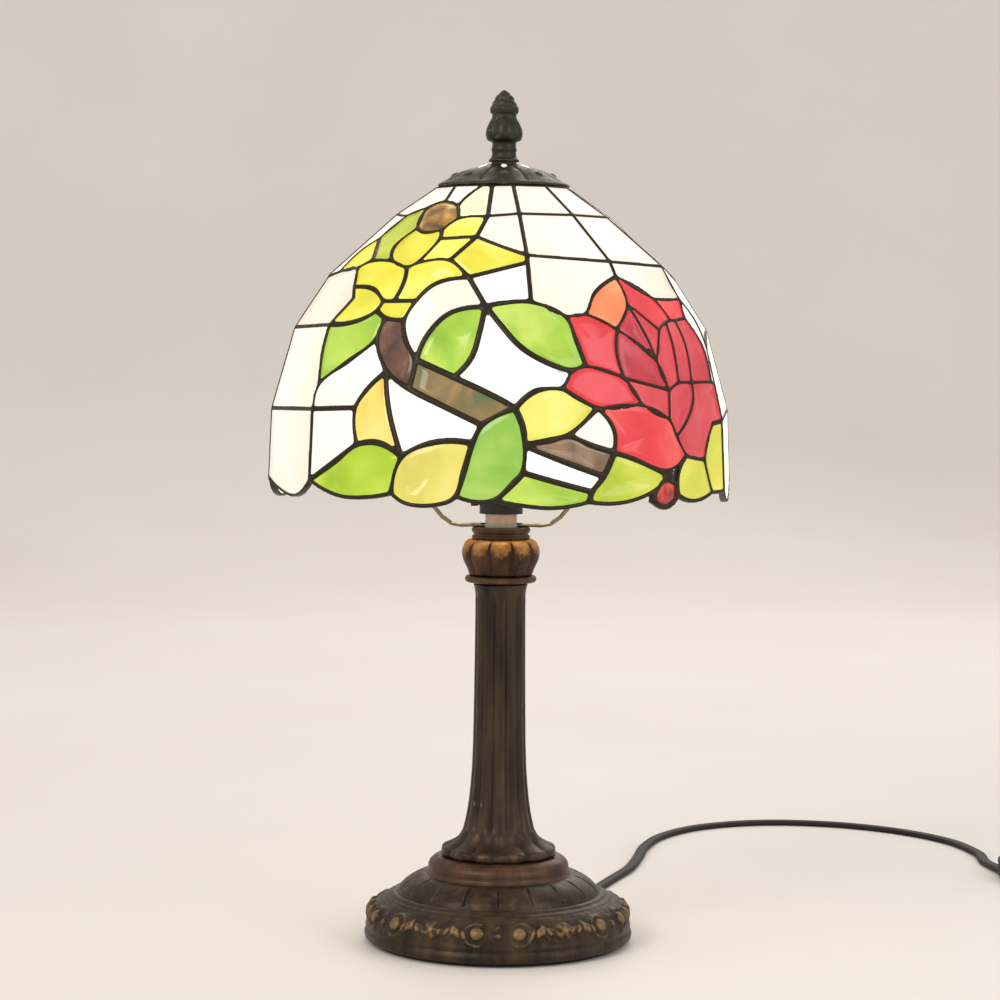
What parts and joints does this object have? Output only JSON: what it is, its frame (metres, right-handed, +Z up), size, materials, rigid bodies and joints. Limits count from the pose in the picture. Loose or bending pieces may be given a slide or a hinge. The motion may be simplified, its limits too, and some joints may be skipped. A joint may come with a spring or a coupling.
{
  "type": "stained glass table lamp",
  "caption": "Small table lamp with a domed leaded art glass shade on a harp, a turn switch socket, a fluted column, a round weighted base and a mains cord.",
  "frame": {"origin": "centre of the base's underside, on the table", "axes": "+Z up through the column and finial, +Y away from the front, +X to the right seen from the front"},
  "size_m": [0.4392, 0.4044, 0.3765],
  "materials": {
    "felt": "matte",
    "bronze": "antique bronze, rubbed edges",
    "gilt_bronze": "antique bronze, gold rubbed",
    "dark_bronze": "dark bronze",
    "iron": "rough",
    "steel": "zinc plated",
    "brass": "satin",
    "nickel": "plated",
    "harp_wire": "plated wire",
    "black_shell": "satin black",
    "phenolic": "moulded",
    "lead_wire": "insulation",
    "black_plastic": "satin",
    "solder": "dull",
    "dark_solder": "dark patina",
    "filament": "glowing",
    "bulb_glass": "frosted, lit",
    "white_glass": "opalescent",
    "milk_glass": "opalescent",
    "yellow_glass": "streaky",
    "amber_glass": "pressed jewel",
    "brown_glass": "streaky",
    "green_glass": "streaky",
    "pale_leaf_glass": "streaky",
    "red_glass": "cathedral",
    "rose_glass": "streaky",
    "ruby_glass": "pressed jewel",
    "cord_plastic": "satin"
  },
  "bodies": {
    "stand": {"base_pad": "felt", "base_casting": "bronze", "base_weight": "iron", "lock_washer": "steel", "hex_nut": "steel", "lamp_pipe": "steel", "column": "bronze", "capital_collar": "bronze", "capital": "gilt_bronze", "capital_neck_ring": "bronze", "harp_saddle": "steel", "harp_wires": "harp_wire", "harp_hub": "brass", "socket_neck": "brass", "socket_shell": "black_shell", "socket_liner": "phenolic", "socket_screw_shell": "brass", "socket_contact": "brass", "socket_leads": "lead_wire", "strain_relief": "cord_plastic", "cord": "cord_plastic", "cord_coil": "cord_plastic", "cord_tail": "cord_plastic", "cord_tie": "black_plastic", "plug_body": "cord_plastic", "plug_blades": "nickel"},
    "switch": {"switch_shaft": "brass", "switch_knob": "black_plastic"},
    "bulb_seat": {"bulb_contact": "solder"},
    "bulb": {"bulb_cap": "nickel", "bulb_glass": "bulb_glass", "bulb_filament": "filament"},
    "shade_seat": {"seating_washer": "brass"},
    "shade": {"shade_top_plate": "brass", "vase_cap": "dark_bronze", "solder_seams": "dark_solder", "front_grid_glass": "white_glass", "front_field_glass": "milk_glass", "front_flower_petals": "yellow_glass", "front_flower_jewel": "amber_glass", "front_branch_glass": "brown_glass", "front_green_leaves": "green_glass", "front_yellow_leaves": "pale_leaf_glass", "front_rose_outer": "red_glass", "front_rose_inner": "rose_glass", "front_bud_jewel": "ruby_glass", "back_grid_glass": "white_glass", "back_field_glass": "milk_glass", "back_flower_petals": "yellow_glass", "back_flower_jewel": "amber_glass", "back_branch_glass": "brown_glass", "back_green_leaves": "green_glass", "back_yellow_leaves": "pale_leaf_glass", "back_rose_outer": "red_glass", "back_rose_inner": "rose_glass", "back_bud_jewel": "ruby_glass"},
    "finial_seat": {"finial_washer": "brass"},
    "finial": {"finial": "dark_bronze"}
  },
  "joints": [
    {"name": "switch_turn", "type": "hinge", "parent": "stand", "child": "switch", "pos_m": [-0.01, 0, 0.195], "axis": [-1, 0, 0], "continuous": true},
    {"name": "bulb_rise", "type": "slide", "parent": "stand", "child": "bulb_seat", "axis": [0, 0, 1], "range_m": [0, 0.0153]},
    {"name": "bulb_turn", "type": "hinge", "parent": "bulb_seat", "child": "bulb", "pos_m": [0, 0, 0.2135], "axis": [0, 0, 1], "range_deg": [0, 2160]},
    {"name": "shade_lift", "type": "slide", "parent": "stand", "child": "shade_seat", "axis": [0, 0, 1], "range_m": [0, 0.165]},
    {"name": "shade_turn", "type": "hinge", "parent": "shade_seat", "child": "shade", "pos_m": [0, 0, 0.3295], "axis": [0, 0, 1], "continuous": true},
    {"name": "finial_rise", "type": "slide", "parent": "shade_seat", "child": "finial_seat", "axis": [0, 0, 1], "range_m": [0, 0.0105]},
    {"name": "finial_turn", "type": "hinge", "parent": "finial_seat", "child": "finial", "pos_m": [0, 0, 0.3485], "axis": [0, 0, 1], "range_deg": [0, 4680]}
  ],
  "couplings": [
    {"joint": "bulb_rise", "follows": "bulb_turn", "m_per_rad": 0.00040425},
    {"joint": "finial_rise", "follows": "finial_turn", "m_per_rad": 0.00012732}
  ]
}
